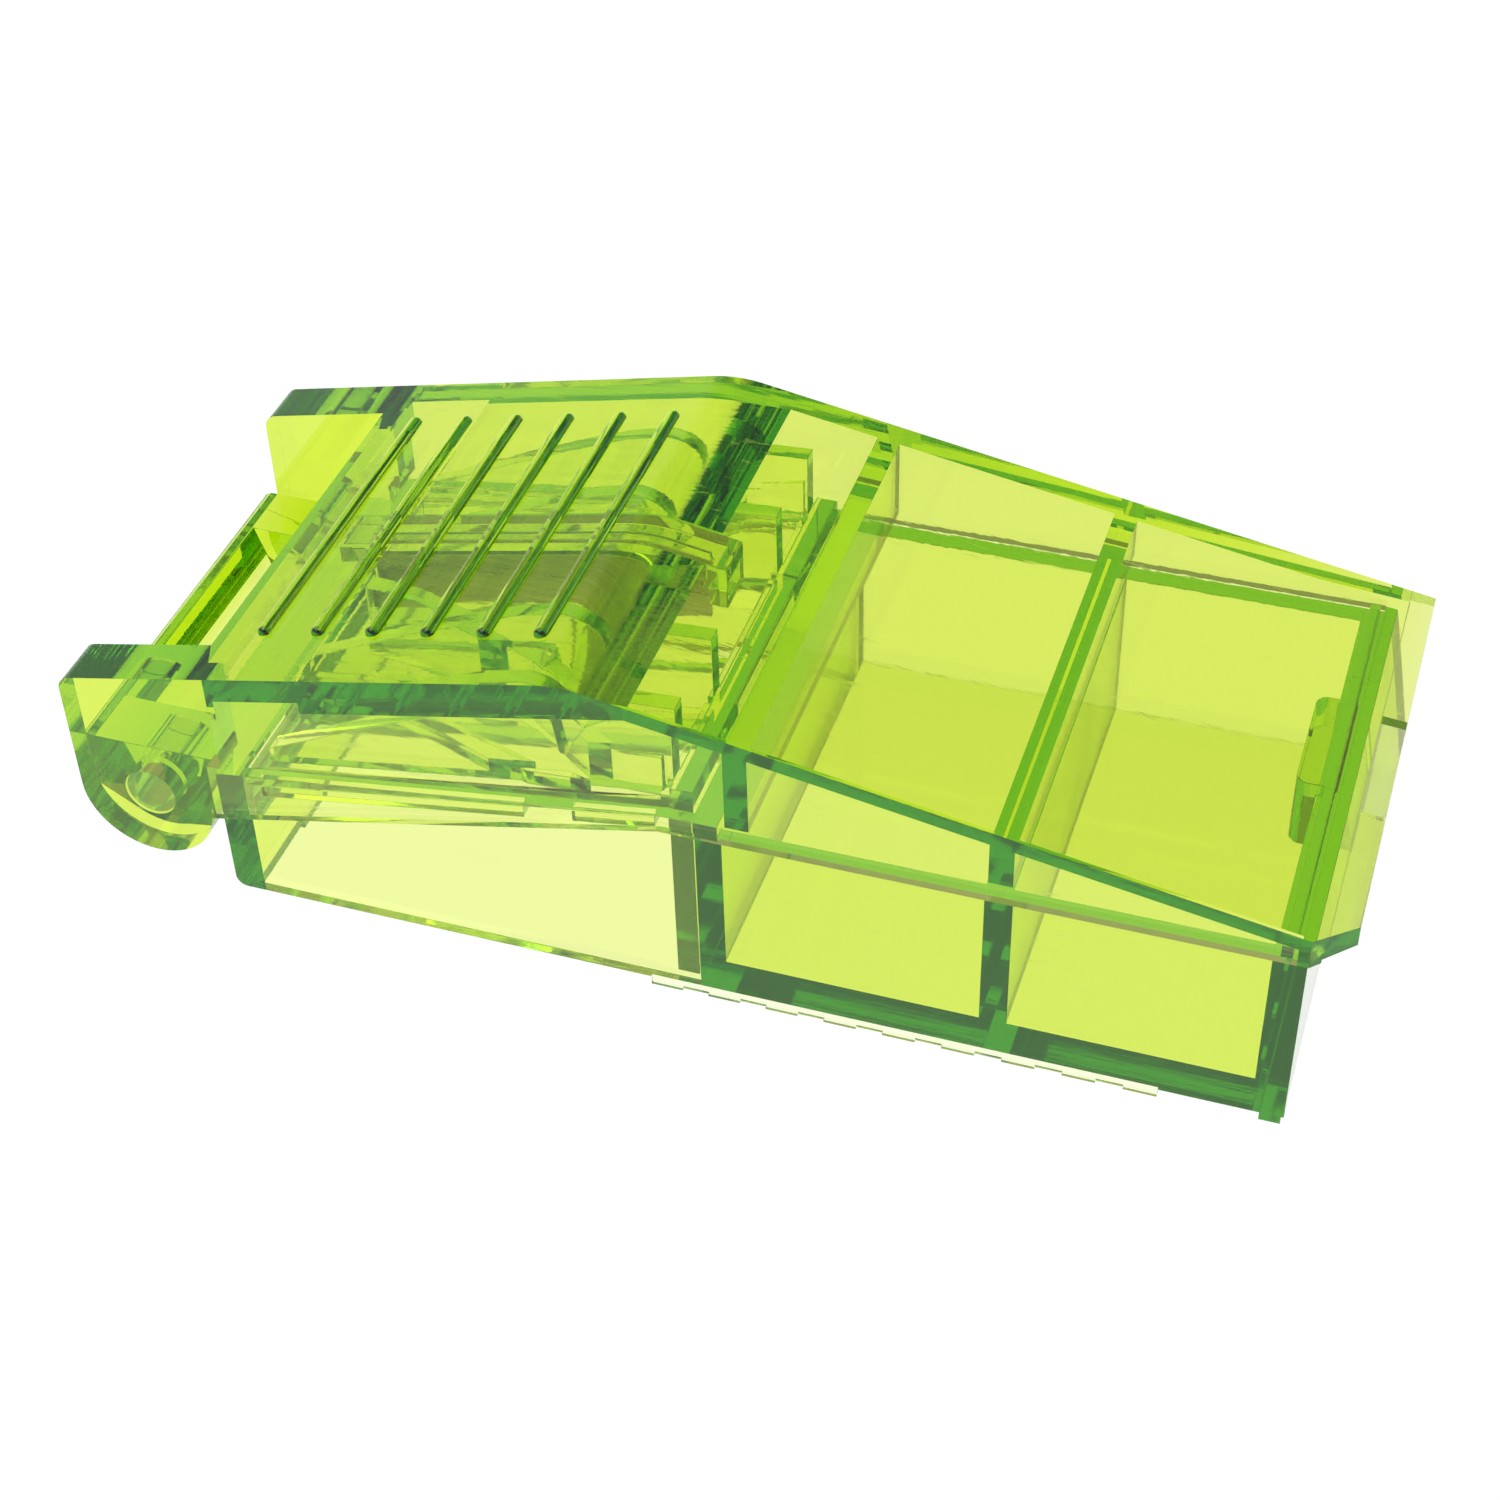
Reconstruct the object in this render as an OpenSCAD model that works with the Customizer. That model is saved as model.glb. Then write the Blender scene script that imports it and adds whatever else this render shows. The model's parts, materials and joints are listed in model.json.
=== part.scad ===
// Pill cutter with two storage compartments: a clear tray, a hinged lid that carries the blade,
// and a drop-in cradle that holds the pill under it. Drawn closed, lying flat, in millimetres.
// X runs from the hinge end to the thumb lip, Y from the front wall to the back wall, Z is up.

/* [Lid] */
// Width over the lid's side walls
lid_w = 38; // [36:0.5:44]
// Thickness of the lid's side walls
lid_wall = 1.1; // [0.9:0.05:1.2]
// Thickness of the lid's roof
roof_t = 1.6; // [1.2:0.1:1.8]
// Slope of the roof over the cutter, in degrees
roof_rise = 12.5; // [11.5:0.1:12.6]
// Slope of the roof over the compartments, in degrees
roof_fall = 10.06; // [9.6:0.02:10.1]
// Length of each grip rib
rib_l = 27.8; // [20:0.2:29]
// Radius of the grip ribs
rib_r = 0.55; // [0.4:0.05:0.7]

/* [Tray] */
// Length of the tray
tray_l = 78.7; // [78.4:0.1:79]
// Thickness of the tray's front and back walls
tray_wall = 1.6; // [1.5:0.05:1.8]
// Thickness of the compartments' floor
floor_t = 2.4; // [1.6:0.1:3]
// Height of the feet
foot_h = 0.8; // [0.5:0.1:1.2]

/* [Blade] */
// Thickness of the blade
blade_t = 0.25; // [0.2:0.05:0.4]
// Length of the blade
blade_l = 26; // [24:0.5:26]

/* [Hidden] */
$fn = 64;
eps = 0.5; // how far a cutter runs past the face that it opens

// Heights are measured from the underside of the tray, lengths from its hinge-end face.
// Hinge
pin_x = -5.6;
pin_z = 8.1;
pin_r = 2.0;
pin_end = 0.1; // clearance at each end of the pins
pin_fit = 0.05; // radial clearance in the tray's hinge block
ear_fit = 0.03; // radial clearance in the lid's ears
ear_x0 = -11; // free end of the ears
ear_x1 = -0.4; // face of the ears next to the tray
ear_t = 4;
ear_r = (ear_x1 - ear_x0) / 2; // rounded foot of the ears
ear_round = 1.3; // top corner
ear_over_rim = 0.9; // height above the tray's rim from which the ears join the roof
ear_pin_skin = 1; // plastic left outside the pin's blind hole
block_gap = 0.4; // between each ear and the hinge block
block_x0 = -12.1;
block_top = 10.9;
block_round = 1;
block_r = 4.6; // rounded underside, about the pin
block_nose = 1.4; // how far the flat left face reaches below the pin's axis
block_turn = 35; // where the rounding starts, in degrees from straight down
block_root = 1; // rise of the underside where it meets the tray
block_end = 4.8; // length of the two solid ends of the hinge block
block_skin = 0.5; // plastic left at the end of each pin's hole
trough_x = [-10.6, -2.4]; // trough between the solid ends, at its top
trough_z = 6.6;
trough_slope = 1.4; // how far its sides lean in

// Roof: two slopes that meet at a rounded bend
roof_z0 = 20.65; // roof height above the tray's hinge-end face
bend_x = 28;
bend_r = 10;
bend_z = roof_z0 + bend_x * tan(roof_rise);
bend_half = (roof_rise + roof_fall) / 2;
bend_tan = bend_r * tan(bend_half);

// Lid edges
lid_x1 = 81.5; // outer edge of the thumb lip
lid_end_x0 = 78; // inner face of the lid's end wall
lid_end_t = 1.5;
lid_x0 = -0.3; // hinge-side edge of the roof
lid_bead_l = 1.5; // bead under that edge
lid_bead_h = 2.4;
skirt_z0 = 7.3; // lower edge of the side walls at the hinge
skirt_x = 34.5; // where that edge turns level
skirt_z = 15.45; // its height from there on
lip_under = 0.3; // how far the thumb lip's underside sits above the skirt's edge
corner_cut = 2.7; // cut corner of the thumb lip
catch_w = 10.2; // finger notch under the thumb lip
catch_x = 79.6;
catch_top = 16.45;
part_z = 16.6; // lower edge of the lid's cross partitions
part_t = 1.7;
part_x = [39.2, 57.5];
grip_t = 3.3; // thick plate under the grip ribs
grip_x0 = 8;
shelf_t = 2.35; // roof between the hinge-side edge and that plate
groove_fit = 0.05; // beside the blade's holder in its groove
rib_x = 3.3; // first grip rib
rib_pitch = 4.28;
rib_n = 6;

// Tray
tray_in = 0.8; // tray wall set back from the lid's outer face
lap = 0.3; // clearance between the lid and the tray
rim_in = lid_wall + lap; // outer face of the raised rim
wall_in = tray_in + tray_wall; // inner face of the walls
rim_z0 = 11.1;
rim_z = 16.1;
hinge_wall_t = 1.9;
latch_wall_t = 2.3;
rim_x = [76.9, 77.65]; // rim on the latch wall
div_t = [1.9, 1.9];
div_x = [36.6, 57.1];
edge_r = 0.9; // rounded edges of the tray
ledge_w = 1;
ledge_t = 0.9;
ledge_x = [3.3, 24, 27.7, 33.8];
foot_l = 1.5;
foot_x = 77;
foot_in = 0.1; // feet set back from the tray's sides
hinge_foot_x = 0.3;
tongue_x = 74.9; // inner face of the latch tongue
tongue_y = [15.9, 25.3];
tongue_z0 = 10.4;
tongue_r = 0.9;
bead = [0.15, 0.95]; // how far the latch bead stands off the rim, and its height
bead_flat = [0.4, 0.7]; // where its flat starts and ends, as parts of its height
bead_drop = 0.05; // its top lies this far below the rim's
front_rib = [33, 70]; // rib under the front edge
front_rib_t = 0.5;
front_rib_h = 0.5;
bar_n = 9; // grip bars on the rib
bar_l = 2.4;
bar_h = 0.25;

// Cradle
crd_gap = 0.1; // clearance in the tray
deck_z0 = 10.95; // top of the deck at the hinge-end face
deck_rise = 9.4; // slope of the deck, in degrees
deck_t = 1.2;
deck_x0 = 2.1;
pocket_d = 2.35; // how far the deck lies lower between the two middle cheeks
ramp = [[9.1, 10.2], [16, 7.2], [24, 3.1], [29, 2.6], [20, 6.8], [11.9, 10.5]]; // front ramp, in plan
ramp_h = 1.2;
crd_wall_x = 34.8; // end wall, next to the first compartment
crd_wall_t = 1.65;
crd_wall_h = 1.1; // how far it stands above the deck
crd_wall_z0 = 0.4;
crd_step = 0.7; // low step in front of it
slot_w = 1; // slot that the blade drops into
slot_end = 1.2; // how far it runs past each end of the blade
cheek_t = 1.4;
cheek_off = [7.3, 14.9]; // cheeks either side of the blade
cheek_x0 = 3.6;
// Top of a cheek: a long ramp, a flat, a steep-sided notch for the pill and a shoulder
cheek_top = [[cheek_x0, 12.8], [12.3, 17], [17, 19.1], [21.2, 20.8], [24.4, 21.6], [25.5, 21.5],
    [26.1, 20.9], [26.5, 18.2], [26.9, 18.1], [28.6, 21], [31.2, 22.7], [crd_wall_x, 22.9]];
arm_t = 1.5;
arm_h = 3.4;
// Outer side of the front guide arm, from beside the blade out to the end wall
arm_path = [[5.8, 17], [10.5, 15.7], [16, 13.1], [22.5, 9.5], [30, 3.5], [34.2, 2.9]];

// Blade and its holder
blade_x = 6;
blade_gap = 0.04; // beside the blade in its holder
blade_skin = 0.1; // between the blade's back and the end of its slot
hold_w = 3.6;
hold_h = 2.1;
hold_gap = 0.05; // between the holder and the roof
hold_x = [3.9, 33.9];
hold_skin = 0.8; // plastic left above the blade's slot
hold_foot_l = 1.4;
hold_foot_h = 3.4;
edge_z0 = 11.25; // cutting edge, extended to the tray's hinge-end face
edge_rise = 12.5;
tooth_x = 24.1; // tip of the tooth that steadies the pill
tooth_z = 12.7;
tooth_l = [1.9, 3.8]; // where it leaves the cutting edge, either side of its tip
tooth_side = [[-0.8, 0.6], [0.9, 0.7]]; // its shoulders, from its tip
blade_holes = [[11, 18.6, 0.7], [28.6, 21.5, 0.8]]; // place and radius of the mounting holes
blade_notch = [[26.3, 22.9], [28.05, 20.9], [29.15, 22.1]]; // three-sided window by the far one

mid_x = (block_x0 + lid_x1) / 2;
mid_y = lid_w / 2;

// Height of the roof's outer face, d below it, on the rising and the falling slope
function roof_up(x, d = 0) = roof_z0 + x * tan(roof_rise) - d / cos(roof_rise);
function roof_down(x, d = 0) = bend_z - (x - bend_x) * tan(roof_fall) - d / cos(roof_fall);
function skirt(x) = skirt_z0 + min(x, skirt_x) * (skirt_z - skirt_z0) / skirt_x;
function deck(x) = deck_z0 + x * tan(deck_rise);
function edge(x) = edge_z0 + x * tan(edge_rise);

// Puts the tray's frame on the part's own origin, under the middle of the whole part
module place() {
    translate([-mid_x, -mid_y, foot_h]) children();
}

// Extrudes an outline drawn in X and Z from y0 to y1
module slab(y0, y1) {
    translate([0, y1, 0]) rotate([90, 0, 0]) linear_extrude(y1 - y0) children();
}

// Repeats a front half at the back
module both_sides() {
    children();
    translate([0, lid_w, 0]) mirror([0, 1, 0]) children();
}

// Everything from x0 to x1 that lies under the roof's outer face less d
module under_roof(x0, x1, d = 0) {
    a = bend_half - roof_fall;
    k = [bend_x, bend_z] + d / cos(bend_half) * [sin(a), -cos(a)];
    c = k + (bend_r - d) / cos(bend_half) * [sin(a), -cos(a)];
    t = bend_tan * (1 - d / bend_r);
    p = k - t * [cos(roof_rise), sin(roof_rise)];
    q = k + t * [cos(roof_fall), -sin(roof_fall)];
    l = block_x0 - eps;
    r = lid_x1 + 2 * eps;
    difference() {
        intersection() {
            polygon([[l, 0], [l, roof_up(l, d)], k, [r, roof_down(r, d)], [r, 0]]);
            translate([x0, 0]) square([x1 - x0, 2 * bend_z]);
        }
        difference() {
            polygon([p, k + [0, eps], q]);
            translate(c) circle(bend_r - d, $fn = 180);
        }
    }
}

// ---- lid ----

module lid_shell() {
    difference() {
        slab(0, lid_w) difference() {
            under_roof(ear_x1, lid_x1);
            polygon([[ear_x1 - eps, -eps], [ear_x1 - eps, skirt(ear_x1)], [skirt_x, skirt_z],
                [lid_x1 + eps, skirt_z], [lid_x1 + eps, -eps]]);
        }
        slab(lid_wall, lid_w - lid_wall) under_roof(ear_x1 - eps, lid_end_x0, roof_t);
        // hinge-side edge of the roof
        slab(lid_wall, lid_w - lid_wall)
            translate([ear_x1 - eps, 0]) square([eps + lid_x0 - ear_x1, roof_z0 + eps]);
        // underside of the thumb lip
        translate([lid_end_x0 + lid_end_t, -eps, skirt_z - eps])
            cube([lid_x1, lid_w + 2 * eps, eps + lip_under]);
        translate([catch_x, mid_y - catch_w / 2, skirt_z - eps])
            cube([lid_x1, catch_w, catch_top - skirt_z + eps]);
        // cut corner
        translate([lid_x1, 0, skirt_z - eps]) rotate([0, 0, 45])
            translate([-corner_cut, -corner_cut / sqrt(2), 0])
                cube([2 * corner_cut, sqrt(2) * corner_cut, roof_z0]);
    }
}

// Side view of an ear: the roof's slope, a rounded top corner and a round foot
module ear_side() {
    mid = (ear_x0 + ear_x1) / 2;
    round_z = roof_up(ear_x0 + ear_round, ear_round);
    difference() {
        under_roof(ear_x0, ear_x1 + lid_wall);
        translate([ear_x0 - eps, -eps]) square([lid_w, eps + pin_z]);
        difference() {
            translate([ear_x0 - eps, round_z])
                square([eps + ear_round * (1 - sin(roof_rise)), roof_z0]);
            translate([ear_x0 + ear_round, round_z]) circle(ear_round);
        }
    }
    difference() {
        translate([mid, pin_z]) circle(ear_r);
        translate([mid - lid_w / 2, pin_z]) square(lid_w);
    }
}

module lid_ear() {
    difference() {
        slab(0, ear_t) difference() {
            ear_side();
            // keeps clear of the tray's rim
            translate([ear_x1, -eps]) square([lid_w, eps + rim_z0 + ear_over_rim]);
        }
        translate([pin_x, ear_t + eps, pin_z]) rotate([90, 0, 0])
            cylinder(r = pin_r + ear_fit, h = ear_t + eps - ear_pin_skin);
    }
}

module lid_partitions() {
    for (x = part_x)
        slab(lid_wall - lap / 2, lid_w - lid_wall + lap / 2) intersection() {
            under_roof(0, lid_x1, roof_t / 2);
            translate([x, part_z]) square([part_t, roof_z0]);
        }
}

// Thicker roof from x0 to x1: its underside is one plane, t below the rising slope
module thick_roof(x0, x1, t) {
    slab(lid_wall - lap / 2, lid_w - lid_wall + lap / 2) difference() {
        under_roof(x0, x1, roof_t / 2);
        polygon([[x0 - eps, 0], [x0 - eps, roof_up(x0 - eps, t)], [x1 + eps, roof_up(x1 + eps, t)],
            [x1 + eps, 0]]);
    }
}

// Thick plate under the grip ribs, with the groove that takes the blade's holder
module grip_plate() {
    // the plate runs out where its underside meets the falling slope's
    x1 = bend_x + (grip_t - roof_t) / sin(2 * bend_half) * cos(roof_fall);
    difference() {
        union() {
            thick_roof(lid_x0, grip_x0 + lap, shelf_t);
            thick_roof(grip_x0, x1, grip_t);
        }
        slab(mid_y - hold_w / 2 - groove_fit, mid_y + hold_w / 2 + groove_fit)
            under_roof(hold_x[0] - lap, x1 + eps, roof_t);
    }
}

// Bead under the roof's hinge-side edge
module lid_bead() {
    slab(lid_wall - lap / 2, lid_w - lid_wall + lap / 2) difference() {
        under_roof(lid_x0, lid_x0 + lid_bead_l, roof_t / 2);
        under_roof(lid_x0 - eps, lid_x0 + lid_bead_l + eps, roof_t + lid_bead_h);
    }
}

module grip_ribs() {
    for (i = [0:rib_n - 1]) {
        x = rib_x + i * rib_pitch;
        translate([x, mid_y, roof_up(x)]) {
            rotate([90, 0, 0]) cylinder(r = rib_r, h = rib_l - 2 * rib_r, center = true, $fn = 24);
            for (s = [-1, 1])
                translate([0, s * (rib_l / 2 - rib_r), 0]) sphere(r = rib_r, $fn = 24);
        }
    }
}

module lid() {
    color("yellowgreen") place() {
        lid_shell();
        both_sides() lid_ear();
        lid_partitions();
        grip_plate();
        lid_bead();
        grip_ribs();
    }
}

// ---- tray ----

// Side view of the tray's outside, up to the ledge that the lid's walls close on
module tray_side(top) {
    r = edge_r;
    difference() {
        polygon([[0, 0], [tray_l, 0], [tray_l, skirt_z - top], [skirt_x, skirt_z - top],
            [0, skirt_z0 - top]]);
        difference() {
            square(r);
            translate([r, r]) circle(r, $fn = 32);
        }
    }
}

module tray_walls() {
    difference() {
        union() {
            slab(tray_in, lid_w - tray_in) tray_side(lap);
            // raised rim round the cutting chamber and along the latch wall
            slab(rim_in, lid_w - rim_in) {
                polygon([[0, edge_r], [div_x[0] + div_t[0], edge_r], [div_x[0] + div_t[0], rim_z],
                    [skirt_x, rim_z], [0, rim_z0]]);
                translate([rim_x[0], edge_r]) square([rim_x[1] - rim_x[0], rim_z - edge_r]);
            }
        }
        // cutting chamber, open below
        translate([hinge_wall_t, wall_in, -eps])
            cube([div_x[0] - hinge_wall_t, lid_w - 2 * wall_in, rim_z + 2 * eps]);
        // two storage compartments
        for (i = [0, 1]) {
            x0 = div_x[i] + div_t[i];
            x1 = i == 0 ? div_x[1] : tray_l - latch_wall_t;
            translate([x0, wall_in, floor_t]) cube([x1 - x0, lid_w - 2 * wall_in, rim_z]);
        }
    }
}

// Ledges that carry the cradle's deck
module tray_ledges() {
    for (i = [0, 2])
        both_sides() slab(wall_in - lap, wall_in + ledge_w) polygon([
            [ledge_x[i], deck(ledge_x[i]) - deck_t - ledge_t],
            [ledge_x[i + 1], deck(ledge_x[i + 1]) - deck_t - ledge_t],
            [ledge_x[i + 1], deck(ledge_x[i + 1]) - deck_t],
            [ledge_x[i], deck(ledge_x[i]) - deck_t]]);
}

// Side view of the hinge block: flat top, rounded left corner, round underside about the pin
module block_side() {
    difference() {
        union() {
            // its right end runs into the tray's hinge wall
            polygon([[block_x0, pin_z - block_nose], [block_x0, block_top], [lap, block_top],
                [lap, pin_z - block_r + block_root], [pin_x, pin_z - block_r],
                [pin_x - block_r * sin(block_turn), pin_z - block_r * cos(block_turn)]]);
            intersection() {
                translate([pin_x, pin_z]) circle(block_r);
                translate([block_x0, 0]) square([-block_x0, pin_z]);
            }
        }
        difference() {
            translate([block_x0 - eps, block_top - block_round]) square(eps + block_round);
            translate([block_x0 + block_round, block_top - block_round]) circle(block_round);
        }
    }
}

// Hinge block between the lid's ears: solid ends that take the pins, a trough between them
module hinge_block() {
    y0 = ear_t + block_gap;
    y1 = lid_w - y0;
    difference() {
        slab(y0, y1) block_side();
        slab(y0 + block_end, y1 - block_end)
            polygon([[trough_x[0], block_top + eps], [trough_x[1], block_top + eps],
                [trough_x[1], block_top], [trough_x[1] - trough_slope, trough_z],
                [trough_x[0] + trough_slope, trough_z], [trough_x[0], block_top]]);
        for (y = [y0 - eps, y1 - block_end + block_skin])
            translate([pin_x, y + block_end + eps - block_skin, pin_z]) rotate([90, 0, 0])
                cylinder(r = pin_r + pin_fit, h = block_end + eps - block_skin);
    }
}

// Tongue on the latch wall, and the bead that the lid's end wall snaps over
module latch_tongue() {
    tongue_w = tongue_y[1] - tongue_y[0];
    x1 = rim_x[0] + lap;
    difference() {
        translate([tongue_x, tongue_y[0], tongue_z0])
            cube([x1 - tongue_x, tongue_w, rim_z - tongue_z0]);
        // rounded corners at its two free edges
        for (e = [[tongue_y[0], 0], [tongue_y[1], -tongue_r]])
            difference() {
                translate([tongue_x - eps, e[0] + e[1] - eps, tongue_z0 - eps])
                    cube([eps + tongue_r, tongue_r + eps, rim_z]);
                translate([tongue_x + tongue_r, e[0] + (e[1] == 0 ? tongue_r : -tongue_r), 0])
                    cylinder(r = tongue_r, h = rim_z + 2 * eps);
            }
    }
    translate([rim_x[1] - lap, tongue_y[1], rim_z - bead[1]]) rotate([90, 0, 0])
        linear_extrude(tongue_w) polygon([[0, 0], [lap, 0], [lap + bead[0], bead[1] * bead_flat[0]],
            [lap + bead[0], bead[1] * bead_flat[1]], [lap, bead[1] - bead_drop], [0, bead[1] - bead_drop]]);
}

// Feet, and a rib with plain grip bars under the front edge
module tray_feet() {
    translate([foot_x, tray_in + foot_in, -foot_h])
        cube([foot_l, lid_w - 2 * (tray_in + foot_in), foot_h + edge_r]);
    translate([hinge_foot_x, mid_y - lid_w / 4, -foot_h]) cube([foot_l, lid_w / 2, foot_h + edge_r]);
    translate([front_rib[0], tray_in, -front_rib_h])
        cube([front_rib[1] - front_rib[0], front_rib_t, front_rib_h + lap]);
    pitch = (front_rib[1] - front_rib[0] - bar_l) / (bar_n - 1);
    for (i = [0:bar_n - 1])
        translate([front_rib[0] + i * pitch, tray_in, -front_rib_h - bar_h])
            cube([bar_l, front_rib_t, bar_h + lap]);
}

module base_tray() {
    color("greenyellow") place() {
        tray_walls();
        tray_ledges();
        hinge_block();
        latch_tongue();
        tray_feet();
    }
}

// ---- cradle ----

// Side view of a cheek
module cheek_side() {
    polygon(concat([[cheek_x0, deck(cheek_x0) - deck_t / 2]], cheek_top,
        [[crd_wall_x, deck(crd_wall_x) - deck_t / 2]]));
}

// Side view of a layer on the deck, from d0 to d1 above its top
module deck_layer(x0, x1, d0, d1) {
    polygon([[x0, deck(x0) + d0], [x1, deck(x1) + d0], [x1, deck(x1) + d1], [x0, deck(x0) + d1]]);
}

// Guide arm that centres the pill: it runs across the middle cheek and ends at the end wall
module cradle_arm() {
    n = len(arm_path);
    y1 = mid_y - cheek_off[0];
    intersection() {
        linear_extrude(roof_z0)
            polygon([for (i = [0:2 * n - 1]) i < n ? arm_path[i] : arm_path[2 * n - 1 - i] + [0, arm_t]]);
        union() {
            slab(0, y1) deck_layer(deck_x0, crd_wall_x, -deck_t / 2, arm_h);
            slab(y1 - cheek_t / 2, mid_y)
                deck_layer(deck_x0, crd_wall_x, -pocket_d - deck_t / 2, arm_h);
        }
    }
}

// Low ramp on the deck that leads crumbs and halves to the side
module cradle_ramp() {
    intersection() {
        linear_extrude(roof_z0) polygon(ramp);
        slab(0, mid_y) deck_layer(deck_x0, crd_wall_x, -deck_t / 2, ramp_h);
    }
}

// Sloping deck, lower in the middle where the pill lies
module cradle_deck(y0) {
    x1 = crd_wall_x + lap;
    y1 = mid_y - cheek_off[0];
    both_sides() slab(y0, y1) deck_layer(deck_x0, x1, -deck_t, 0);
    slab(y1 - cheek_t / 2, lid_w - y1 + cheek_t / 2)
        deck_layer(deck_x0, x1, -pocket_d - deck_t, -pocket_d);
    both_sides() slab(y1 - cheek_t / 2, y1 + cheek_t / 2)
        deck_layer(deck_x0, x1, -pocket_d - deck_t / 2, 0);
}

module cradle_end_wall(y0) {
    top = deck(crd_wall_x) + crd_wall_h;
    slab(y0, lid_w - y0) polygon([[crd_wall_x, crd_wall_z0], [crd_wall_x + crd_wall_t, crd_wall_z0],
        [crd_wall_x + crd_wall_t, top], [crd_wall_x, top], [crd_wall_x, top - crd_step],
        [crd_wall_x - crd_step, top - crd_step], [crd_wall_x - crd_step, top - 2 * crd_step],
        [crd_wall_x, top - 2 * crd_step]]);
}

module pill_cradle() {
    y0 = wall_in + crd_gap;
    color("olivedrab") place() difference() {
        union() {
            cradle_deck(y0);
            cradle_end_wall(y0);
            for (d = cheek_off)
                both_sides() slab(mid_y - d - cheek_t / 2, mid_y - d + cheek_t / 2) cheek_side();
            both_sides() cradle_arm();
            both_sides() cradle_ramp();
        }
        translate([blade_x - slot_end, mid_y - slot_w / 2, 0])
            cube([blade_l + 2 * slot_end, slot_w, roof_z0]);
    }
}

// ---- blade and holder ----

// Side view of the holder: a bar under the roof with a foot at its far end
module holder_side() {
    d = roof_t + hold_gap;
    foot_z = roof_down(hold_x[1], d) - hold_foot_h;
    difference() {
        under_roof(hold_x[0], hold_x[1], d);
        difference() {
            under_roof(hold_x[0] - eps, hold_x[1] + eps, d + hold_h);
            translate([hold_x[1] - hold_foot_l, foot_z]) square([hold_foot_l + eps, roof_z0]);
        }
    }
}

module blade_holder() {
    color("limegreen") place() difference() {
        slab(mid_y - hold_w / 2, mid_y + hold_w / 2) holder_side();
        slab(mid_y - blade_t / 2 - blade_gap, mid_y + blade_t / 2 + blade_gap)
            under_roof(blade_x - blade_gap, blade_x + blade_l + blade_gap,
                roof_t + hold_gap + hold_skin);
    }
}

module blade() {
    x0 = blade_x - eps;
    x1 = blade_x + blade_l + eps;
    tip = [tooth_x, tooth_z];
    color("silver") place() slab(mid_y - blade_t / 2, mid_y + blade_t / 2) difference() {
        under_roof(blade_x, blade_x + blade_l, roof_t + hold_gap + hold_skin + blade_skin);
        // everything under the cutting edge and its tooth
        polygon([[x0, -eps], [x0, edge(x0)], [tooth_x - tooth_l[0], edge(tooth_x - tooth_l[0])],
            tip + tooth_side[0], tip, tip + tooth_side[1],
            [tooth_x + tooth_l[1], edge(tooth_x + tooth_l[1])], [x1, edge(x1)], [x1, -eps]]);
        for (h = blade_holes)
            translate([h[0], h[1]]) circle(h[2], $fn = 32);
        polygon(blade_notch);
    }
}

// ---- hinge pins ----

module hinge_pins() {
    y0 = ear_pin_skin + pin_end;
    color("yellow") place() both_sides()
        translate([pin_x, y0, pin_z]) rotate([-90, 0, 0])
            cylinder(r = pin_r, h = ear_t + block_gap + block_end - block_skin - pin_end - y0);
}

base_tray();
pill_cradle();
lid();
blade_holder();
blade();
hinge_pins();
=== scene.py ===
"""Looks of the clear pill cutter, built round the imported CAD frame. Lengths are in metres."""

import json
import math

import bmesh
import bpy
from mathutils import Matrix, Vector

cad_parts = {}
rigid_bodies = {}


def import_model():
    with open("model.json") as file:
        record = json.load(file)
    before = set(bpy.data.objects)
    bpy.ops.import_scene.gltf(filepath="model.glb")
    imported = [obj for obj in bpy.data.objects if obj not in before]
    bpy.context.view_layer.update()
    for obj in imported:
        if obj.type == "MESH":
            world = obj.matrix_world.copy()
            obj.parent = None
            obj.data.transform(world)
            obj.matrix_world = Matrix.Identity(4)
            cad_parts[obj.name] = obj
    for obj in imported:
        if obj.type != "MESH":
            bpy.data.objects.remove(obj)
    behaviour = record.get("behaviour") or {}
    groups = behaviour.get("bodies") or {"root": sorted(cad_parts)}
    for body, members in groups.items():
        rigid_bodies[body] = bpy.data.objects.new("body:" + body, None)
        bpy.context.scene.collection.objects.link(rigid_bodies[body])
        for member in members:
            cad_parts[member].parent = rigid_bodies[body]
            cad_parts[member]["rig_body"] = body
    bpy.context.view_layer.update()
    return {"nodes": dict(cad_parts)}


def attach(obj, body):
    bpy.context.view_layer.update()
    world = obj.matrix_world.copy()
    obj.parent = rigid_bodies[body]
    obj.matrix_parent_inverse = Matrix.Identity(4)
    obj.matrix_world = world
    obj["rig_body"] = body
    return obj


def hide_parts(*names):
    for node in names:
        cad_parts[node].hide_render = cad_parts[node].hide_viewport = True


MM = 0.001
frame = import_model()
nodes = frame["nodes"]
scene = bpy.context.scene

# ---- values ----

WHITE = (1.0, 1.0, 1.0, 1.0)

# Light lost inside the plastic is (1 - tint) x density for each metre it runs
TINT = (0.867, 0.953, 0.02, 1.0)
TINT_DENSITY = 600.0
PLASTIC_IOR = 1.55
# Roughness of the best polished plastic, and what a worn patch and a scratch add to it
POLISHED = 0.012
WORN = 0.05
SCRATCHED = 0.12
SCRATCH_TURN = (0.2, 0.5, 0.35)
WAVE_DEPTH = 0.25 * MM
SCRATCH_DEPTH = 0.05 * MM

# Darkest and lightest of the blade's grinding lines, how rough they are and how deep
STEEL_DARK = (0.34, 0.34, 0.33, 1.0)
STEEL_LIGHT = (0.66, 0.66, 0.64, 1.0)
STEEL_ROUGH = (0.22, 0.42)
GRIND_TURN = (0.0, 0.22, 0.0)
GRIND_DEPTH = 0.03 * MM

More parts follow.
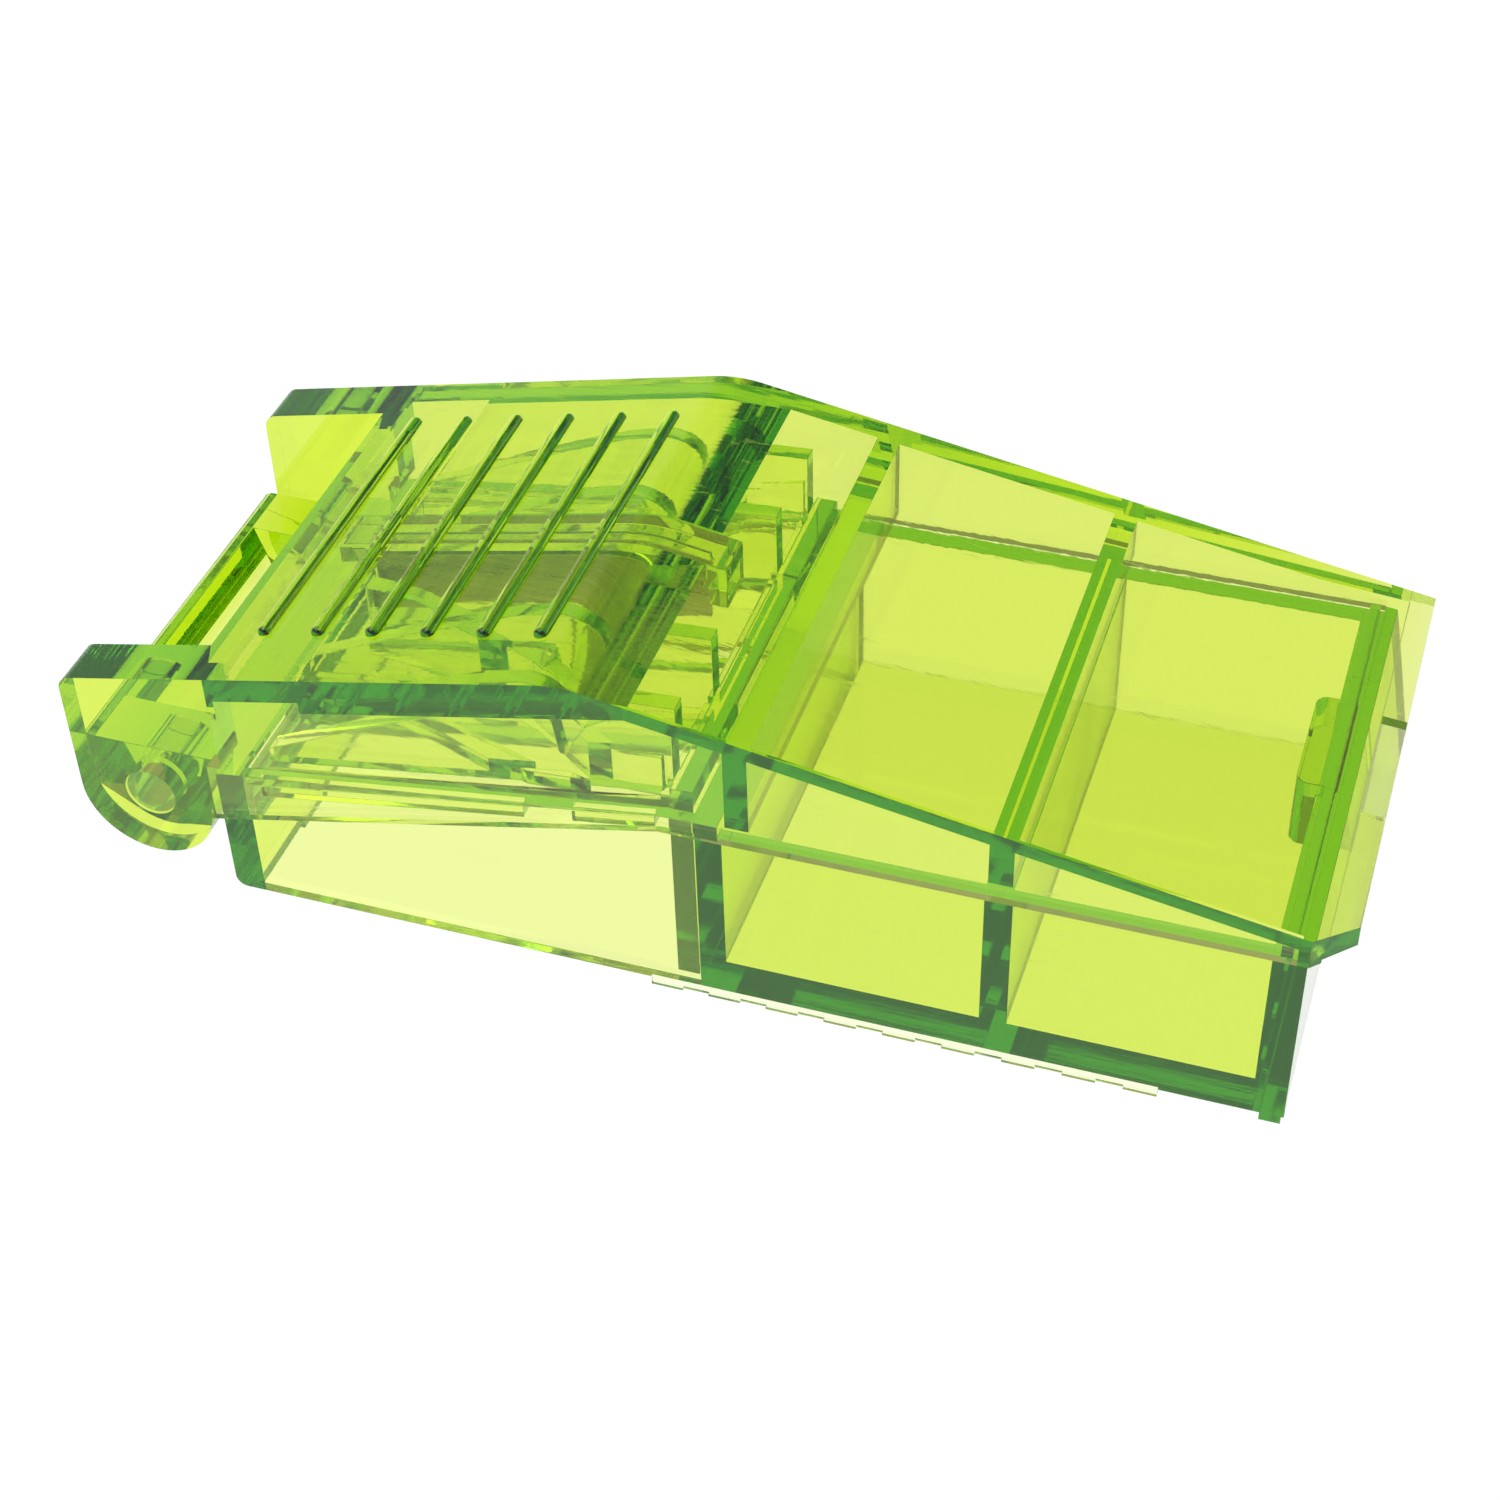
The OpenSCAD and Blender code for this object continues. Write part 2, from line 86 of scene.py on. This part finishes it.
FLOOR_GLOW = 1.0
FLOOR_DARK = (0.05, 0.05, 0.05, 1.0)
FLOOR_LIGHT = (0.07, 0.07, 0.07, 1.0)
FLOOR_SIZE = 3.0
FLOOR_DROP = 0.03 * MM

# The studio's grey by the sine of the height looked at: dark below, white wall, dim ceiling
SKY = ((-1.0, 0.1), (-0.1, 0.12), (0.02, 0.95), (0.3, 0.8), (0.5, 0.3), (1.0, 0.35))

KEY_PLACE = (-0.25, -0.15, 0.5)
KEY_SIZE = (0.5, 0.4)
KEY_POWER = 1.2

# Corners closer than this are one, and faces turned less than this from each other are flat
WELD = 0.001 * MM
FLAT = math.radians(0.4)

# ---- materials ----


class Graph:
    """A material's node tree, with short ways to add and join nodes."""

    def __init__(self, name):
        self.material = bpy.data.materials.new(name)
        self.material.use_nodes = True
        self.tree = self.material.node_tree
        self.tree.nodes.clear()
        self.output = self.add("ShaderNodeOutputMaterial")
        self.shader = self.add("ShaderNodeBsdfPrincipled")
        self.join(self.shader, "BSDF", self.output, "Surface")
        self.coordinates = self.add("ShaderNodeTexCoord")

    def add(self, kind, inputs=None, **settings):
        node = self.tree.nodes.new(kind)
        for key, value in settings.items():
            setattr(node, key, value)
        for key, value in (inputs or {}).items():
            node.inputs[key].default_value = value
        return node

    def join(self, source, out, target, into):
        self.tree.links.new(source.outputs[out], target.inputs[into])

    def stretched(self, scale, turn=(0, 0, 0)):
        node = self.add("ShaderNodeMapping")
        node.inputs["Scale"].default_value = scale
        node.inputs["Rotation"].default_value = turn
        self.join(self.coordinates, "Object", node, "Vector")
        return node

    def noise(self, scale, detail=4.0, roughness=0.55, distortion=0.0, stretch=None, turn=(0, 0, 0)):
        node = self.add(
            "ShaderNodeTexNoise",
            {"Scale": scale, "Detail": detail, "Roughness": roughness, "Distortion": distortion},
        )
        if stretch:
            self.join(self.stretched(stretch, turn), "Vector", node, "Vector")
        else:
            self.join(self.coordinates, "Object", node, "Vector")
        return node

    def ranged(self, source, out, low, high, to_low, to_high):
        node = self.add(
            "ShaderNodeMapRange",
            {"From Min": low, "From Max": high, "To Min": to_low, "To Max": to_high},
        )
        self.join(source, out, node, "Value")
        return node

    def shaded(self, source, low, high):
        """A colour ramp over a noise, between two (position, colour) stops."""
        node = self.add("ShaderNodeValToRGB")
        for stop, (position, colour) in zip(node.color_ramp.elements, (low, high)):
            stop.position = position
            stop.color = colour
        self.join(source, "Fac", node, "Fac")
        return node

    def bump(self, source, out, strength, distance, before=None):
        node = self.add("ShaderNodeBump", {"Strength": strength, "Distance": distance})
        self.join(source, out, node, "Height")
        if before:
            self.join(before, "Normal", node, "Normal")
        return node


def clear_plastic(name, wear=1.0):
    """Polished lime-green plastic: clear, and deeper in colour the further light runs inside it."""
    g = Graph(name)
    principled = {"Base Color": WHITE, "Transmission Weight": 1.0, "IOR": PLASTIC_IOR}
    for key, value in principled.items():
        g.shader.inputs[key].default_value = value
    # the surface isn't evenly polished, and handling has left fine scratches on it
    polish = g.noise(90.0, detail=5.0)
    sheen = g.ranged(polish, "Fac", 0.35, 0.75, POLISHED, POLISHED + WORN * wear)
    scratches = g.noise(
        160.0, detail=2.0, roughness=0.4, stretch=(1.0, 14.0, 14.0), turn=SCRATCH_TURN
    )
    lines = g.ranged(scratches, "Fac", 0.66, 0.7, 0.0, SCRATCHED * wear)
    rough = g.add("ShaderNodeMath", operation="ADD")
    g.join(sheen, "Result", rough, 0)
    g.join(lines, "Result", rough, 1)
    g.join(rough, "Value", g.shader, "Roughness")
    # moulded faces are very slightly wavy
    flow = g.noise(45.0, detail=2.0, roughness=0.4)
    wave = g.bump(flow, "Fac", 0.12, WAVE_DEPTH)
    fine = g.bump(scratches, "Fac", 0.05 * wear, SCRATCH_DEPTH, wave)
    g.join(fine, "Normal", g.shader, "Normal")
    tint = g.add("ShaderNodeVolumeAbsorption", {"Color": TINT, "Density": TINT_DENSITY})
    g.join(tint, "Volume", g.output, "Volume")
    return g.material


def blade_steel():
    """Thin ground strip steel, with grinding lines along its length."""
    g = Graph("blade_steel")
    g.shader.inputs["Metallic"].default_value = 1.0
    grain = g.noise(120.0, detail=6.0, stretch=(1.0, 1.0, 22.0), turn=GRIND_TURN)
    shade = g.shaded(grain, (0.3, STEEL_DARK), (0.72, STEEL_LIGHT))
    g.join(shade, "Color", g.shader, "Base Color")
    g.join(g.ranged(grain, "Fac", 0.3, 0.7, *STEEL_ROUGH), "Result", g.shader, "Roughness")
    g.join(g.bump(grain, "Fac", 0.15, GRIND_DEPTH), "Normal", g.shader, "Normal")
    return g.material


def pale_floor():
    """A plain white sheet that gives off an even light of its own."""
    g = Graph("pale_floor")
    tone = g.noise(8.0, detail=3.0)
    shade = g.shaded(tone, (0.0, FLOOR_DARK), (1.0, FLOOR_LIGHT))
    g.join(shade, "Color", g.shader, "Base Color")
    sheet = {
        "Roughness": 0.9,
        "Specular IOR Level": 0.1,
        "Emission Color": WHITE,
        "Emission Strength": FLOOR_GLOW,
    }
    for key, value in sheet.items():
        g.shader.inputs[key].default_value = value
    return g.material


# ---- pieces ----


def moulding(name, material, edge, sharp=24.0):
    """A cleaned copy of a CAD node, with its faces joined up and its sharp edges rounded."""
    node = nodes[name]
    shape = bmesh.new()
    shape.from_mesh(node.data)
    bmesh.ops.remove_doubles(shape, verts=shape.verts, dist=WELD)
    bmesh.ops.dissolve_limit(
        shape,
        angle_limit=FLAT,
        verts=shape.verts,
        edges=shape.edges,
        use_dissolve_boundaries=False,
    )
    for face in shape.faces:
        face.smooth = True
    mesh = bpy.data.meshes.new(name + "_moulding")
    shape.to_mesh(mesh)
    shape.free()
    mesh.materials.append(material)
    piece = bpy.data.objects.new(name + "_moulding", mesh)
    scene.collection.objects.link(piece)
    bevel = piece.modifiers.new("rounded_edges", "BEVEL")
    bevel.width = edge
    bevel.segments = 2
    bevel.limit_method = "ANGLE"
    bevel.angle_limit = math.radians(sharp)
    bevel.use_clamp_overlap = True
    # the largest faces set the shading, so they stay flat up to their rounded edges
    normals = piece.modifiers.new("flat_faces", "WEIGHTED_NORMAL")
    normals.weight = 100
    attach(piece, node["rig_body"])
    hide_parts(name)


moulding("lid", clear_plastic("lid_plastic"), 0.16 * MM)
moulding("base_tray", clear_plastic("tray_plastic"), 0.14 * MM)
moulding("pill_cradle", clear_plastic("cradle_plastic", 0.6), 0.12 * MM)
moulding("blade_holder", clear_plastic("holder_plastic", 0.6), 0.1 * MM)
moulding("hinge_pins", clear_plastic("pin_plastic", 0.8), 0.15 * MM)
moulding("blade", blade_steel(), 0.02 * MM)

# ---- floor and light ----

# the feet stand just clear of the sheet, because faces that coincide shade badly
bpy.ops.mesh.primitive_plane_add(size=FLOOR_SIZE, location=(0, 0, -FLOOR_DROP))
floor = bpy.context.object
floor.name = "floor"
floor.data.materials.append(pale_floor())


def studio_world():
    """Surroundings that are one grey all the way round at each height."""
    world = bpy.data.worlds.new("studio")
    world.use_nodes = True
    tree = world.node_tree
    place = tree.nodes.new("ShaderNodeTexCoord")
    axes = tree.nodes.new("ShaderNodeSeparateXYZ")
    height = tree.nodes.new("ShaderNodeMapRange")
    height.inputs["From Min"].default_value = -1.0
    shade = tree.nodes.new("ShaderNodeValToRGB")
    tree.links.new(place.outputs["Generated"], axes.inputs["Vector"])
    tree.links.new(axes.outputs["Z"], height.inputs["Value"])
    tree.links.new(height.outputs["Result"], shade.inputs["Fac"])
    tree.links.new(shade.outputs["Color"], tree.nodes["Background"].inputs["Color"])
    stops = shade.color_ramp.elements
    while len(stops) < len(SKY):
        stops.new(0.5)
    for stop, (level, grey) in zip(stops, SKY):
        stop.position = (level + 1) / 2
        stop.color = (grey, grey, grey, 1.0)
    return world


def soft_light(name, place, size, power):
    data = bpy.data.lights.new(name, "AREA")
    data.shape = "RECTANGLE"
    data.size, data.size_y = size
    data.energy = power
    light = bpy.data.objects.new(name, data)
    scene.collection.objects.link(light)
    light.location = place
    # an area light shines down its own -Z, so +Z points away from the part
    light.rotation_euler = Vector(place).to_track_quat("Z", "Y").to_euler()


scene.world = studio_world()
soft_light("key", KEY_PLACE, KEY_SIZE, KEY_POWER)

# ---- camera ----

CAMERA_TURN = math.radians(19.42)  # round from the front, towards the thumb lip
CAMERA_RISE = math.radians(41.5)
CAMERA_ROLL = math.radians(-1.82)
CAMERA_AWAY = 205.6 * MM
CAMERA_AIM = Vector((0, 0, 7.6 * MM))
LENS = 65.8
SENSOR = 36.0

camera_data = bpy.data.cameras.new("camera")
camera_data.sensor_width = SENSOR
camera_data.lens = LENS
camera_data.clip_start = 0.01
camera = bpy.data.objects.new("camera", camera_data)
scene.collection.objects.link(camera)
back = Vector((
    math.sin(CAMERA_TURN) * math.cos(CAMERA_RISE),
    -math.cos(CAMERA_TURN) * math.cos(CAMERA_RISE),
    math.sin(CAMERA_RISE),
))
right = Vector((math.cos(CAMERA_TURN), math.sin(CAMERA_TURN), 0))
up = back.cross(right)
level = Matrix((right, up, back)).transposed()
camera.matrix_world = (
    Matrix.Translation(CAMERA_AIM + CAMERA_AWAY * back)
    @ (level @ Matrix.Rotation(CAMERA_ROLL, 3, "Z")).to_4x4()
)
scene.camera = camera

scene.view_settings.view_transform = "Standard"
# light turns many times inside clear walls, and each inner mirroring counts as a glossy bounce
scene.cycles.max_bounces = 40
scene.cycles.glossy_bounces = 32
scene.cycles.transmission_bounces = 32
scene.cycles.transparent_max_bounces = 16
